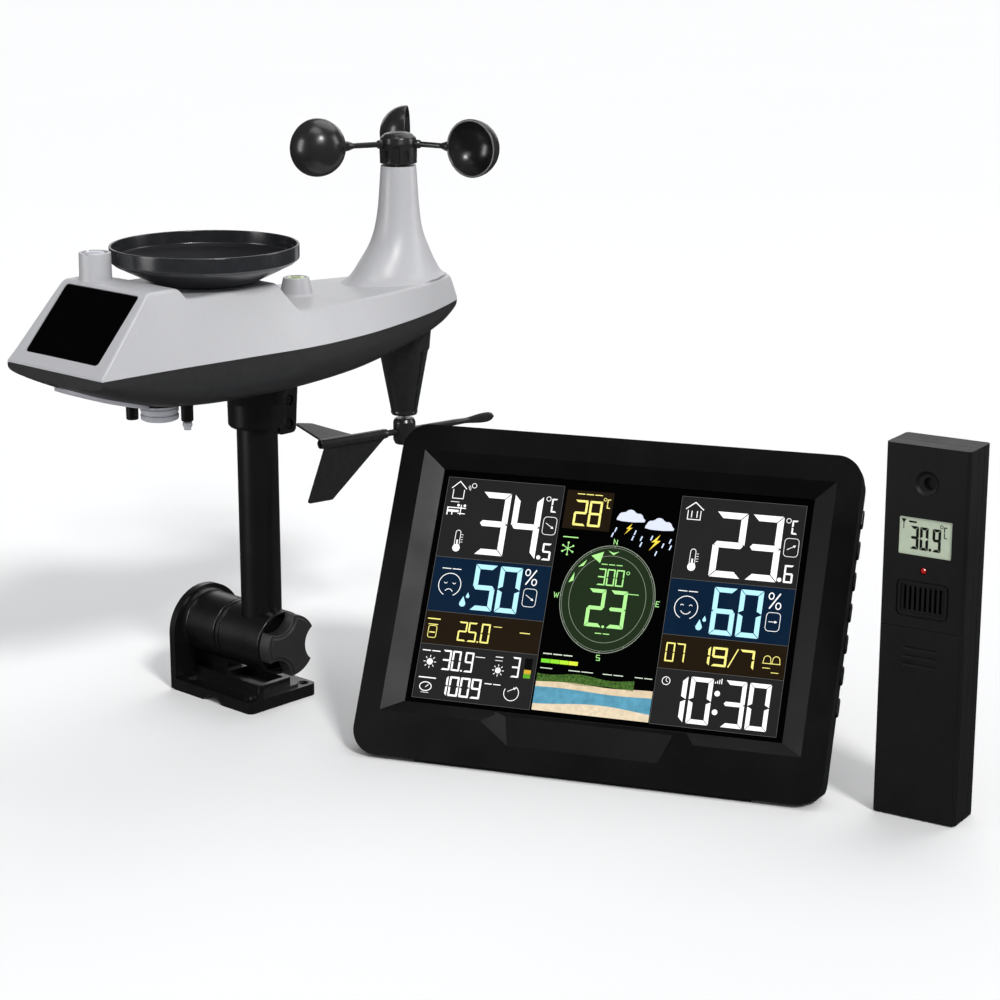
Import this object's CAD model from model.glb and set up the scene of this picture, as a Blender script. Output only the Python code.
import math

import bmesh
import bpy
from mathutils import Euler, Matrix, Vector


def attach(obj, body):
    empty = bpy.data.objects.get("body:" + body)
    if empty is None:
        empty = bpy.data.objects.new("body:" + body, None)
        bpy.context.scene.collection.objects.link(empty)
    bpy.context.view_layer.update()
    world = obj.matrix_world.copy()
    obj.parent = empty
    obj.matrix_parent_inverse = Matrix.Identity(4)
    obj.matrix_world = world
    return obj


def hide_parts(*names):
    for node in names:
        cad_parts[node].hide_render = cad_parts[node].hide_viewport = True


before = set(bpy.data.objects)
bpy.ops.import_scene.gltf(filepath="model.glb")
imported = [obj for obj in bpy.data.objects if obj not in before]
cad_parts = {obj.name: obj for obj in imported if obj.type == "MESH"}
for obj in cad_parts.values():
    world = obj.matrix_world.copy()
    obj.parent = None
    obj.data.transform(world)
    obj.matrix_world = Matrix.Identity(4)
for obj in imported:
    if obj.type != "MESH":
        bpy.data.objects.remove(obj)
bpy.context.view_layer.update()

# Dimensions are millimetres, in the frames of the three units, and turn into metres when a
# mesh is made. The array's frame has +X towards the solar panel. The console and the remote
# have their front face at y = 0 and +Z up the face.
MM = 0.001
GAP = 0.3

ARRAY_YAW = 227.14
CONSOLE_AT = (191.6, -147.4, 2.5)
CONSOLE_YAW = -18.62
CONSOLE_LEAN = 30
REMOTE_AT = (373.2, -202.4, 0)
REMOTE_YAW = -32.54

BARREL_Z = 40
BARREL_R = 20
BOLT_HOLE_R = 3.3
POLE_R = 12.5
SEAM_Z = 230.5
WALL = 2.4
MAST_X = -123.3
MAST_TOP = 321.5
VANE_X = -126.3
VANE_YAW = -10.3
ROD_Z = 150
FUNNEL_X = 37.45
LIGHT_POST = (102, -20.5)
LIGHT_POST_TOP = 290.5
LEVEL_AT = (-34.5, 0)
LEVEL_TOP = 261.6
SENSOR_AT = (75.3, 0)
SENSOR_POSTS = ((9.5, -13.5), (-9.5, 13.5))
CUP_ANGLES = (-21.1, 98.9, 218.9)
CUP_ORBIT = 54.9
CUP_Z = 335.4
CUP_R = 18

CONSOLE_HALF = 139.75
CONSOLE_TALL = 202.8
SCREEN_HALF = 112.8
SCREEN_Z = (34.5, 176.8)
SCREEN_DEEP = 5.5
BEVEL_HALF = 125.3
BEVEL_Z = (26.8, 186.8)
BEZEL_DEEP = 9
COVER_BACK = 19.5
HUMP_BACK = 32
KEY_Z = tuple(59.4 + 18.33 * step for step in range(7))
STAND_PIVOT = (36, 118)
STAND_OPEN = 50
STAND_PIN_HOLE_R = 1.8

REMOTE_HALF = 24.05
REMOTE_TALL = 209.6
REMOTE_DEEP = 26.7
REMOTE_SPLIT_Y = 11
REMOTE_DOOR_TOP = 108.7
REMOTE_HOLE_Z = 189.4

HULL_HALF_WIDTH = (
    (-175, 0.8), (-170, 5.2), (-162, 9.4), (-148, 16.2), (-121, 27.6),
    (-85, 39.2), (-45, 49), (0, 53.4), (50, 49.6), (100, 45.2), (150, 43),
)
HULL_DEPTH = (
    (-175, 1.2), (-170, 4.6), (-160, 9.2), (-146, 13.4), (-128, 16.8),
    (-105, 20.2), (-85, 22.8), (-50, 26.6), (0, 29.5), (40, 30.3), (65, 29.5),
    (90, 27), (110, 22.2), (130, 16), (145, 9.6), (150, 6.8),
)
DECK_HALF_WIDTH = (
    (-175, 0.6), (-171, 2.2), (-165, 4.6), (-158, 8.6), (-149, 13.4), (-125, 24.4),
    (-90, 33.4), (-61, 37.6), (-24, 41),
)
# From here forwards the deck's edge lies on one smooth side: how far it leans in per mm of height
SIDE_LEAN = ((-24, 0.535), (0, 0.5), (40, 0.36), (80, 0.23), (112, 0.15), (150, 0.15))
DECK_Z = (
    (-175, 231.7), (-171, 238), (-165, 247), (-158, 248), (-149, 248.4),
    (-125, 249.4), (-90, 250), (-61, 250.3), (-24, 250.5), (0, 251),
    (4, 253.4), (9.5, 261), (14, 267.6), (20, 268), (80, 268), (84, 268.9),
    (88, 273.2), (91.5, 274.5), (109, 274.5), (111.2, 274.2), (113.6, 272.7),
    (150, 231.9),
)
# Mast: height, centre, half length and half width of its section
MAST = (
    (249.6, -117.6, 43.5, 24.5), (250.5, -118, 40.6, 23.6), (252.2, -118.8, 37, 22.4),
    (255, -119.6, 33.4, 21), (262, -120.6, 27.6, 19), (271.5, -122.2, 20.6, 16.8),
    (281, -122.6, 15.8, 14.9), (294, -123, 13.3, 13.1), (308, -123.2, 12.1, 12.1),
    (MAST_TOP, MAST_X, 11.2, 11.2),
)


def turn(axis, angle):
    return Matrix.Rotation(math.radians(angle), 4, axis)


def shift(*where):
    return Matrix.Translation(where)


ARRAY = turn("Z", ARRAY_YAW)
KNOB = ARRAY @ shift(0, 0, BARREL_Z)
BARREL = KNOB @ turn("X", -90)
FUNNEL = ARRAY @ shift(FUNNEL_X, 0, 0)
ROTOR = ARRAY @ shift(MAST_X, 0, 0)
HOUSING = ARRAY @ shift(VANE_X, 0, 0)
VANE = HOUSING @ turn("Z", VANE_YAW)
POST = ARRAY @ shift(*LIGHT_POST, 0)
LEVEL = ARRAY @ shift(*LEVEL_AT, 0)
SENSOR = ARRAY @ shift(*SENSOR_AT, 0)
CONSOLE = shift(*CONSOLE_AT) @ turn("Z", CONSOLE_YAW) @ turn("X", -CONSOLE_LEAN)
CONSOLE_FLOOR = shift(*CONSOLE_AT[:2], 0) @ turn("Z", CONSOLE_YAW)
STAND = CONSOLE @ shift(0, *STAND_PIVOT) @ turn("X", STAND_OPEN)
REMOTE = shift(*REMOTE_AT) @ turn("Z", REMOTE_YAW)


# ---------------------------------------------------------------- outlines and curves

def arc(centre, radius, start, end, count=12):
    points = []
    for i in range(count + 1):
        angle = math.radians(start + (end - start) * i / count)
        points.append((centre[0] + radius * math.cos(angle), centre[1] + radius * math.sin(angle)))
    return points


def ellipse(centre, wide, tall, count):
    angles = [2 * math.pi * k / count for k in range(count)]
    return [(centre[0] + wide * math.cos(a), centre[1] + tall * math.sin(a)) for a in angles]


def rounded_rectangle(low, high, radius, count=8):
    corners = (
        ((high[0] - radius, low[1] + radius), -90), ((high[0] - radius, high[1] - radius), 0),
        ((low[0] + radius, high[1] - radius), 90), ((low[0] + radius, low[1] + radius), 180))
    points = []
    for centre, start in corners:
        points += arc(centre, radius, start, start + 90, count)
    return points


def fillet(points, closed=False, count=6):
    """Rounds the corners of a line of (u, v) or (u, v, radius) points."""
    made = []
    for i, point in enumerate(points):
        here = Vector(point[:2])
        ends = not closed and i in (0, len(points) - 1)
        if len(point) < 3 or ends:
            made.append(tuple(here))
            continue
        before = Vector(points[i - 1][:2]) - here
        after = Vector(points[(i + 1) % len(points)][:2]) - here
        reach = point[2] / math.tan(before.angle(after) / 2)
        reach = min(reach, 0.48 * before.length, 0.48 * after.length)
        start = here + before.normalized() * reach
        end = here + after.normalized() * reach
        for k in range(count + 1):
            t = k / count
            made.append(tuple(start * (1 - t) ** 2 + here * 2 * t * (1 - t) + end * t * t))
    return made


def smooth(points, x):
    """A smooth curve through (x, value) points, sorted by x."""
    last = len(points) - 1
    i = 0
    while i < last - 1 and x > points[i + 1][0]:
        i += 1
    (x0, y0), (x1, y1) = points[i], points[i + 1]
    before, after = points[max(i - 1, 0)], points[min(i + 2, last)]
    slope0 = (y1 - before[1]) / (x1 - before[0])
    slope1 = (after[1] - y0) / (after[0] - x0)
    span = x1 - x0
    t = min(max((x - x0) / span, 0), 1)
    return ((2 * t ** 3 - 3 * t ** 2 + 1) * y0 + (t ** 3 - 2 * t ** 2 + t) * span * slope0
            + (3 * t ** 2 - 2 * t ** 3) * y1 + (t ** 3 - t ** 2) * span * slope1)


def straight(points, x):
    """Straight lines through (x, value) points, sorted by x."""
    for (x0, y0), (x1, y1) in zip(points, points[1:]):
        if x <= x1:
            return y0 + (y1 - y0) * (x - x0) / (x1 - x0)
    return points[-1][1]


# ---------------------------------------------------------------- meshes

def raw(bm, where):
    """A working object from a bmesh drawn in millimetres in a unit's frame."""
    bmesh.ops.recalc_face_normals(bm, faces=bm.faces)
    mesh = bpy.data.meshes.new("raw")
    bm.to_mesh(mesh)
    bm.free()
    mesh.transform(Matrix.Scale(MM, 4) @ where)
    obj = bpy.data.objects.new("raw", mesh)
    bpy.context.scene.collection.objects.link(obj)
    return obj


LAY = {
    "Z": lambda u, v, w: (u, v, w),
    "Y": lambda u, v, w: (u, w, v),
    "X": lambda u, v, w: (w, u, v),
}


def add_prism(bm, outline, low, high, normal="Z"):
    lay = LAY[normal]
    first = [bm.verts.new(lay(u, v, low)) for u, v in outline]
    second = [bm.verts.new(lay(u, v, high)) for u, v in outline]
    bm.faces.new(first)
    bm.faces.new(list(reversed(second)))
    for i, a in enumerate(first):
        j = (i + 1) % len(first)
        bm.faces.new((first[j], a, second[i], second[j]))


def prism(outline, low, high, where, normal="Z"):
    bm = bmesh.new()
    add_prism(bm, outline, low, high, normal)
    return raw(bm, where)


def block(low, high, where):
    outline = [(low[0], low[1]), (high[0], low[1]), (high[0], high[1]), (low[0], high[1])]
    return prism(outline, low[2], high[2], where)


def rod(axis, radius, low, high, where, at=(0, 0), sides=64):
    return prism(arc(at, radius, 0, 360, sides)[:-1], low, high, where, axis)


def lathe(profile, where, steps=96, closed=False):
    """A (radius, height) profile turned about Z; an open one starts and ends on the axis."""
    bm = bmesh.new()
    rings = []
    for radius, height in profile:
        if radius < 0.001:
            rings.append([bm.verts.new((0, 0, height))])
            continue
        ring = []
        for i in range(steps):
            angle = 2 * math.pi * i / steps
            ring.append(bm.verts.new((radius * math.cos(angle), radius * math.sin(angle), height)))
        rings.append(ring)
    if closed:
        rings.append(rings[0])
    for first, second in zip(rings, rings[1:]):
        for i in range(steps):
            j = (i + 1) % steps
            corners = [first[i % len(first)], first[j % len(first)],
                       second[j % len(second)], second[i % len(second)]]
            corners = list(dict.fromkeys(corners))
            if len(corners) > 2:
                bm.faces.new(corners)
    return raw(bm, where)


def turned(profile, where, steps=96, closed=False):
    """A lathe of a profile whose corners are rounded."""
    return lathe(fillet(profile, closed), where, steps, closed)


def slab(low, high, radius, near, far, where, normal="Z", count=8):
    """A rounded rectangle drawn out from near to far along its normal."""
    return prism(rounded_rectangle(low, high, radius, count), near, far, where, normal)


def loft(rings, where):
    bm = bmesh.new()
    rows = [[bm.verts.new(point) for point in ring] for ring in rings]
    count = len(rows[0])
    for first, second in zip(rows, rows[1:]):
        for i in range(count):
            j = (i + 1) % count
            bm.faces.new((first[i], first[j], second[j], second[i]))
    bm.faces.new(rows[0])
    bm.faces.new(list(reversed(rows[-1])))
    return raw(bm, where)


def frustum(front, back, front_y, back_y, where):
    return loft([[(x, front_y, z) for x, z in front], [(x, back_y, z) for x, z in back]], where)


def rectangle(half, low, high):
    return [(-half, low), (half, low), (half, high), (-half, high)]


def bake(obj):
    """Applies the modifiers of a working object."""
    bpy.context.view_layer.update()
    graph = bpy.context.evaluated_depsgraph_get()
    mesh = bpy.data.meshes.new_from_object(obj.evaluated_get(graph))
    obj.modifiers.clear()
    old = obj.data
    obj.data = mesh
    bpy.data.meshes.remove(old)
    return obj


def combine(obj, operation, tools):
    for tool in tools:
        modifier = obj.modifiers.new(operation, "BOOLEAN")
        modifier.operation = operation
        modifier.object = tool
        modifier.solver = "EXACT"
    bake(obj)
    for tool in tools:
        mesh = tool.data
        bpy.data.objects.remove(tool, do_unlink=True)
        bpy.data.meshes.remove(mesh)
    return obj


def cut(obj, *tools):
    return combine(obj, "DIFFERENCE", tools)


def fuse(obj, *tools):
    return combine(obj, "UNION", tools)


def weld(obj):
    bm = bmesh.new()
    bm.from_mesh(obj.data)
    bmesh.ops.remove_doubles(bm, verts=bm.verts, dist=0.01 * MM)
    bmesh.ops.dissolve_limit(bm, angle_limit=math.radians(0.3), verts=bm.verts, edges=bm.edges)
    bm.to_mesh(obj.data)
    bm.free()


# The record's slot that each material belongs to, by the material's name in Blender
SLOTS = {}


def piece(name, obj, body, material, replaces=(), edge=0, angle=32, segments=2, slot=None):
    """Makes a working object a finished piece: its edges, shading, material and body."""
    obj.name = name
    weld(obj)
    obj.data.name = name
    obj.data.materials.clear()
    obj.data.materials.append(material)
    obj.data.shade_smooth()
    if edge:
        bevel = obj.modifiers.new("edges", "BEVEL")
        bevel.width = edge * MM
        bevel.segments = segments
        bevel.limit_method = "ANGLE"
        bevel.angle_limit = math.radians(angle)
    else:
        obj.data.set_sharp_from_angle(angle=math.radians(angle))
    normals = obj.modifiers.new("normals", "WEIGHTED_NORMAL")
    normals.keep_sharp = True
    normals.weight = 80
    slot = slot or SLOTS[material.name]
    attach(obj, body)
    if replaces:
        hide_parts(*replaces)
    return obj


# ---------------------------------------------------------------- materials

FLOW_SCALE = 260
PATCH_SCALE = 34


def nodes_of(name):
    material = bpy.data.materials.new(name)
    material.use_nodes = True
    tree = material.node_tree
    return material, tree, tree.nodes["Principled BSDF"]


def noise(tree, scale, detail=3, stretch=None):
    """The output of a noise texture in the piece's own coordinates, features per metre."""
    where = tree.nodes.new("ShaderNodeTexCoord").outputs["Object"]
    if stretch:
        mapping = tree.nodes.new("ShaderNodeMapping")
        mapping.inputs["Scale"].default_value = stretch
        tree.links.new(where, mapping.inputs["Vector"])
        where = mapping.outputs["Vector"]
    texture = tree.nodes.new("ShaderNodeTexNoise")
    texture.inputs["Scale"].default_value = scale
    texture.inputs["Detail"].default_value = detail
    tree.links.new(where, texture.inputs["Vector"])
    return texture.outputs["Fac"]


def spread(tree, value, low, high):
    """A noise value carried onto the range from low to high."""
    mapped = tree.nodes.new("ShaderNodeMapRange")
    mapped.inputs["From Min"].default_value = 0.3
    mapped.inputs["From Max"].default_value = 0.7
    mapped.inputs["To Min"].default_value = low
    mapped.inputs["To Max"].default_value = high
    tree.links.new(value, mapped.inputs["Value"])
    return mapped.outputs["Result"]


def blend_colour(tree, value, first, second):
    ramp = tree.nodes.new("ShaderNodeValToRGB")
    ramp.color_ramp.elements[0].position = 0.3
    ramp.color_ramp.elements[0].color = (*first, 1)
    ramp.color_ramp.elements[1].position = 0.7
    ramp.color_ramp.elements[1].color = (*second, 1)
    tree.links.new(value, ramp.inputs["Fac"])
    return ramp.outputs["Color"]


def tint(colour, factor):
    return tuple(min(channel * factor, 1) for channel in colour)


def plastic(name, colour, roughness, grain=1400, bump=0.02, coat=0, vary=0.08, sss=0,
            stretch=None, metallic=0, shine=0.5):
    """Moulded plastic: faint flow in its colour, uneven gloss and a fine spark-eroded grain."""
    material, tree, shader = nodes_of(name)
    SLOTS[material.name] = name
    flow = noise(tree, FLOW_SCALE, 4, stretch)
    colours = blend_colour(tree, flow, tint(colour, 1 - vary), tint(colour, 1 + vary))
    tree.links.new(colours, shader.inputs["Base Color"])
    patches = noise(tree, PATCH_SCALE, stretch=stretch)
    gloss = spread(tree, patches, roughness * 0.88, roughness * 1.14)
    tree.links.new(gloss, shader.inputs["Roughness"])
    relief = tree.nodes.new("ShaderNodeBump")
    relief.inputs["Strength"].default_value = bump
    relief.inputs["Distance"].default_value = 0.0004
    tree.links.new(noise(tree, grain, 2), relief.inputs["Height"])
    tree.links.new(relief.outputs["Normal"], shader.inputs["Normal"])
    shader.inputs["Metallic"].default_value = metallic
    shader.inputs["Coat Weight"].default_value = coat
    shader.inputs["Coat Roughness"].default_value = 0.06
    shader.inputs["Specular IOR Level"].default_value = shine
    if sss:
        shader.inputs["Subsurface Weight"].default_value = sss
        shader.inputs["Subsurface Radius"].default_value = (0.004, 0.004, 0.004)
    return material


def glow(name, colour, strength=1, grain=1800, vary=0.03):
    """A lit area of a display: a fine cell pattern under clear film, giving its own light."""
    material, tree, shader = nodes_of(name)
    cells = noise(tree, grain, 4 if vary > 0.1 else 1)
    colours = blend_colour(tree, cells, tint(colour, 0.3), tint(colour, 0.36))
    tree.links.new(colours, shader.inputs["Base Color"])
    light = blend_colour(tree, cells, tint(colour, 1 - vary), tint(colour, 1 + vary))
    tree.links.new(light, shader.inputs["Emission Color"])
    shader.inputs["Emission Strength"].default_value = strength
    gloss = spread(tree, noise(tree, 60), 0.32, 0.4)
    tree.links.new(gloss, shader.inputs["Roughness"])
    shader.inputs["Specular IOR Level"].default_value = 0.1
    return material


WHITE = plastic("white_shell", (0.52, 0.52, 0.537), 0.36, bump=0.012, vary=0.012)
PALE = plastic("pale_cover", (0.46, 0.46, 0.5), 0.34, vary=0.02)
HULL = plastic("charcoal_hull", (0.0265, 0.0265, 0.0275), 0.36, bump=0.05, vary=0.1, shine=0.4)
BRACKET = plastic("bracket_black", (0.004, 0.004, 0.0045), 0.3, bump=0.08, vary=0.14)
KNOB_MAT = plastic("knob_black", (0.0195, 0.0195, 0.02), 0.44, bump=0.06, vary=0.1)
GLOSS = plastic("gloss_black", (0.0195, 0.0195, 0.0203), 0.24, bump=0.012, vary=0.1)
FUNNEL_MAT = plastic("funnel_black", (0.0215, 0.0222, 0.0252), 0.2, bump=0.03, coat=0.25,
                     vary=0.12)
CONE_MAT = plastic("funnel_cone", (0.011, 0.011, 0.0128), 0.6, grain=900, bump=0.14,
                   vary=0.14, shine=0.15)
SOLAR = plastic("solar_glass", (0.0006, 0.0006, 0.0009), 0.12, grain=500, bump=0.004,
                vary=0.35, stretch=(1, 1, 0.15), shine=0.06)
VIAL = plastic("level_green", (0.46, 0.56, 0.24), 0.14, bump=0.004, coat=0.6, vary=0.1, sss=0.2)
CLEAR = plastic("clear_lens", (0.54, 0.55, 0.6), 0.22, grain=700, bump=0.05, coat=0.3,
                vary=0.04, sss=0.2)
CASE = plastic("case_black", (0.0028, 0.0028, 0.003), 0.36, grain=2200, bump=0.12, vary=0.12,
               shine=0.18)
KEY = plastic("key_black", (0.005, 0.005, 0.0055), 0.34, grain=2200, bump=0.08, vary=0.12,
              shine=0.4)
SCREEN = plastic("screen_glass", (0.0005, 0.0005, 0.0007), 0.08, grain=300, bump=0.002,
                 vary=0.25, shine=0.12)
REMOTE_CASE = plastic("remote_case", (0.0065, 0.0065, 0.0068), 0.46, grain=2400, bump=0.12,
                      vary=0.12, shine=0.25)
REMOTE_GLASS = plastic("remote_glass", (0.5, 0.57, 0.44), 0.22, grain=900, bump=0.01,
                       vary=0.04, shine=0.3)
INK = plastic("display_ink", (0.004, 0.005, 0.004), 0.3, bump=0.01, vary=0.2, shine=0.2)
LED = plastic("led_red", (0.42, 0.008, 0.008), 0.18, bump=0.01, coat=0.6, vary=0.15, sss=0.2)
STEEL = plastic("steel", (0.52, 0.52, 0.54), 0.3, grain=1800, bump=0.04, vary=0.05,
                stretch=(1, 1, 0.05), metallic=1)
BLACK_STEEL = plastic("steel_blacked", (0.035, 0.035, 0.038), 0.36, grain=1800, bump=0.05,
                      vary=0.1, metallic=1)
BOARD = plastic("board_green", (0.015, 0.1, 0.045), 0.42, grain=600, bump=0.1, vary=0.2)
CELL = plastic("cell_jacket", (0.06, 0.075, 0.14), 0.3, coat=0.3, vary=0.1)
RUBBER = plastic("rubber", (0.01, 0.01, 0.01), 0.78, grain=1100, bump=0.2, vary=0.15,
                 shine=0.2)


def kept(material, *names):
    """Gives CAD nodes that stay their material."""
    for name in names:
        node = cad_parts[name]
        node.data.materials.clear()
        node.data.materials.append(material)


# ---------------------------------------------------------------- outdoor array: bracket

KNOB_R = 19.4
KNOB_SCOOP_R = 12.4
KNOB_SCOOP_ORBIT = 23.6


def side_angle(opposite, near, far):
    return math.degrees(math.acos((near ** 2 + far ** 2 - opposite ** 2) / (2 * near * far)))


def knob_outline(inset):
    """Three lobes with scoops between them, drawn in from the knob's edge by an inset."""
    outer, scoop_r = KNOB_R - inset, KNOB_SCOOP_R + inset
    reach = side_angle(scoop_r, outer, KNOB_SCOOP_ORBIT)
    around = side_angle(outer, scoop_r, KNOB_SCOOP_ORBIT)
    points = []
    for i in range(3):
        scoop = 185 + 120 * i
        middle = (KNOB_SCOOP_ORBIT * math.cos(math.radians(scoop)),
                  KNOB_SCOOP_ORBIT * math.sin(math.radians(scoop)))
        points += arc(middle, scoop_r, scoop + 180 + around, scoop + 180 - around, 20)
        points += arc((0, 0), outer, scoop + reach, scoop - reach + 120, 16)[1:-1]
    return points


def bracket():
    foot = slab((-27.75, -56.5), (27.75, 18.85), 4, 0, 7.5, ARRAY)
    arch = prism([(27.7, 0.5)] + arc((0, 36), 27.7, 0, 180, 48) + [(-27.7, 0.5)],
                 -56.4, -51.5, ARRAY, "Y")
    plinth = slab((-13, -53.5), (13, 12), 2.5, 5, 13.5, ARRAY)
    plinth_step = slab((-17.5, -53.5), (17.5, 15.2), 4, 5, 9, ARRAY)
    barrel = turned([(0, -53.5), (BARREL_R + 2.4, -53.5), (BARREL_R + 0.1, -49, 2),
                     (BARREL_R - 0.2, -23.4, 0.8), (0, -23.4)], BARREL)
    web = block((-6, -53.5, 8), (6, -27, 28), ARRAY)
    fuse(foot, plinth_step, plinth, arch, web, barrel)
    cut(foot, rod("Y", BOLT_HOLE_R, -58, -22, ARRAY, at=(0, BARREL_Z)),
        rod("Y", 6.8, -58, -52, ARRAY, at=(0, BARREL_Z)),
        slab((-9.5, -24.5), (9.5, 8.6), 2, 8.5, 15, ARRAY),
        rod("X", 10.5, 19, 29, ARRAY, at=(-17, -6)))
    for spot in ((-21.5, 12.5), (21.5, 12.5), (-21.5, -44), (21.5, -44)):
        cut(foot, rod("Z", 2.3, -1, 9, ARRAY, at=spot, sides=32),
            lathe([(0, 6.1), (2.2, 6.1), (4.4, 8), (0, 8)],
                  ARRAY @ shift(*spot, 0), 32))
    piece("bracket_foot", foot, "bracket", BRACKET, ["base_bracket"], edge=0.7)
    star = prism(knob_outline(0), 18.6, 27.3, KNOB, "Y")
    pad = prism(knob_outline(2.1), 20, 28.4, KNOB, "Y")
    fuse(star, pad, turned([(0, 14.7), (7.8, 14.7), (8.2, 19.5), (0, 19.5)], BARREL))
    cut(star, rod("Y", BOLT_HOLE_R, 12, 24.6, KNOB))
    piece("knob_star", star, "knob", KNOB_MAT, ["clamp_knob"], edge=0.8, segments=3,
          slot="gloss_black")
    kept(STEEL, "elbow_bolt")


def pole():
    elbow = turned([
        (0, -23), (BARREL_R - 0.6, -23, 0.5), (BARREL_R - 0.1, -22, 0.5),
        (BARREL_R - 0.1, -19.6, 0.3), (BARREL_R - 1, -19.2, 0.3), (BARREL_R - 1, -18.4, 0.3),
        (BARREL_R - 0.1, -18, 0.3), (BARREL_R - 0.1, 17.9, 0.9), (BARREL_R - 1.9, 17.9, 0.5),
        (BARREL_R - 2.4, 14.2, 0.8), (0, 14.2)], BARREL, 112)
    cut(elbow, rod("Y", BOLT_HOLE_R, -24, 19, ARRAY, at=(0, BARREL_Z)),
        rod("Z", POLE_R + GAP, 45.7, 80, ARRAY))
    piece("elbow_barrel", elbow, "sensor_head", BRACKET, ["pole_elbow"], edge=0.25)
    tube = turned([(10.7, 199.4), (POLE_R, 199.4, 0.4), (POLE_R, 46, 0.4), (10.7, 46)],
                  ARRAY, closed=True)
    piece("pole_tube", tube, "sensor_head", BRACKET, ["mast_pole"])
    collar = turned([
        (0, 206), (20.9, 206), (20.7, 199, 1.5), (18.4, 193.2, 3), (17.7, 190, 3),
        (17.5, 176.2, 1.2), (16.2, 174.7, 0.8), (0, 174.7)], ARRAY)
    ear = prism(fillet([(-13.9, 166.9, 2), (-13.9, 196.4), (-29.5, 196.4, 1.5),
                        (-28.2, 180, 20), (-27.4, 166.9, 4)], True), -5, 5, ARRAY, "Y")
    fuse(collar, ear)
    cut(collar, hull_clearance(), rod("Z", POLE_R + GAP, 160, 210, ARRAY, sides=96))
    for x, z in ((-22, 187.6), (-21.5, 172.6)):
        cut(collar, rod("Y", 3.4, 2.2, 6, ARRAY, at=(x, z), sides=40),
            rod("Y", 1.9, -6, 6, ARRAY, at=(x, z), sides=32),
            rod("Y", 3.4, -6, -2.8, ARRAY, at=(x, z), sides=6))
    piece("collar_clamp", collar, "sensor_head", BRACKET, ["pole_collar"], edge=0.4)
    kept(BLACK_STEEL, "collar_screw_1", "collar_screw_2")


# ---------------------------------------------------------------- outdoor array: hull

BELLY_STEPS = 28


def hull_stations():
    stations = [-175, -174, -172.5]
    stations += [-171 + 3 * i for i in range(106)]
    return stations + [145.5, 147.4, 149, 150]


def hull_rings(grow, top):
    """Sections of the lower hull, each a rounded belly below the seam, grown or shrunk."""
    rings = []
    for station in hull_stations():
        half = max(smooth(HULL_HALF_WIDTH, station) + grow, 0.3)
        deep = max(smooth(HULL_DEPTH, station) + grow, 0.3)
        x = station
        if station == 150:
            x += grow
        if station < -150:
            x -= 2 * grow
        ring = [(x, half, top), (x, half, SEAM_Z - GAP / 2 - 0.25 * deep)]
        for i in range(1, BELLY_STEPS):
            angle = math.pi * i / BELLY_STEPS
            side = math.copysign(abs(math.cos(angle)) ** 0.62, math.cos(angle))
            down = 0.25 + 0.75 * math.sin(angle) ** 0.85
            ring.append((x, half * side, SEAM_Z - GAP / 2 - deep * down))
        ring += [(x, -half, SEAM_Z - GAP / 2 - 0.25 * deep), (x, -half, top)]
        rings.append(ring)
    return rings


def hull_clearance():
    """The lower hull grown by the gap, for cutting what is fixed under it."""
    return loft(hull_rings(GAP, SEAM_Z + 4), ARRAY)


def shell_stations():
    fine = [1.25 * i for i in range(14)]
    step = [78 + 1.25 * i for i in range(14)]
    nose = [97, 103, 108, 109.5, 110.5, 111.3, 112.1, 113, 114.2, 118]
    return ([-175, -173.5, -172.2] + [-171 + 1.5 * i for i in range(12)]
            + [-153 + 3 * i for i in range(51)] + fine + [20, 30, 45, 60, 72]
            + step + nose + [124 + 5 * i for i in range(5)] + [148.5, 150])


def shell_rings(inset):
    """Sections of the upper shell: sloping sides, a rounded shoulder and a faintly crowned deck."""
    rings = []
    bottom = SEAM_Z + GAP / 2 - (1 if inset else 0)
    for station in shell_stations():
        x = station
        if inset:
            x += 3 * max(0, min(1, (-140 - station) / 20))
            x -= 4 * max(0, min(1, (station - 95) / 10))
        base = max(smooth(HULL_HALF_WIDTH, station) - 1.2 * inset, 0.4)
        flat = straight if station > 113 else smooth
        deck = flat(DECK_Z, station)
        half = smooth(DECK_HALF_WIDTH, station)
        if station > DECK_HALF_WIDTH[-1][0]:
            half = smooth(HULL_HALF_WIDTH, station) - smooth(SIDE_LEAN, station) * (deck - SEAM_Z)
        upper = max(half - 1.1 * inset, 0.25)
        height = max(deck - inset, bottom + 0.4)
        shoulder = min(2.6, 0.45 * (height - bottom), 0.6 * upper)
        side = fillet([(base, bottom), (upper, height, shoulder), (0, height + 0.4)], count=7)
        ring = [(x, y, z) for y, z in side]
        ring += [(x, -y, z) for y, z in reversed(side[:-1])]
        rings.append(ring)
    return rings


def mast_rings(wall=0, low=MAST[0][0], high=MAST_TOP, count=72):
    """Sections of the mast, whose foot stays inside the deck's edge."""
    rings = []
    levels = 44
    for k in range(levels + 1):
        z = low + (high - low) * (k / levels) ** 1.6
        centre, long, wide = (smooth([(row[0], row[n]) for row in MAST], z) for n in (1, 2, 3))
        ring = []
        for i in range(count):
            angle = 2 * math.pi * i / count
            x = centre + (long - wall) * math.cos(angle)
            y = (wide - wall) * math.sin(angle)
            edge = smooth(DECK_HALF_WIDTH, x) - 1 + max(z - 250, 0) * 4
            y = max(-edge, min(edge, y))
            ring.append((x, y, z))
        rings.append(ring)
    return rings


SOLAR_SIZE = (46.5, 65)
SOLAR_FROM_BOTTOM = 7.8
SLOPE_TOP = (112, 274.5)
SLOPE_BOTTOM = (150, 231.9)


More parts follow.
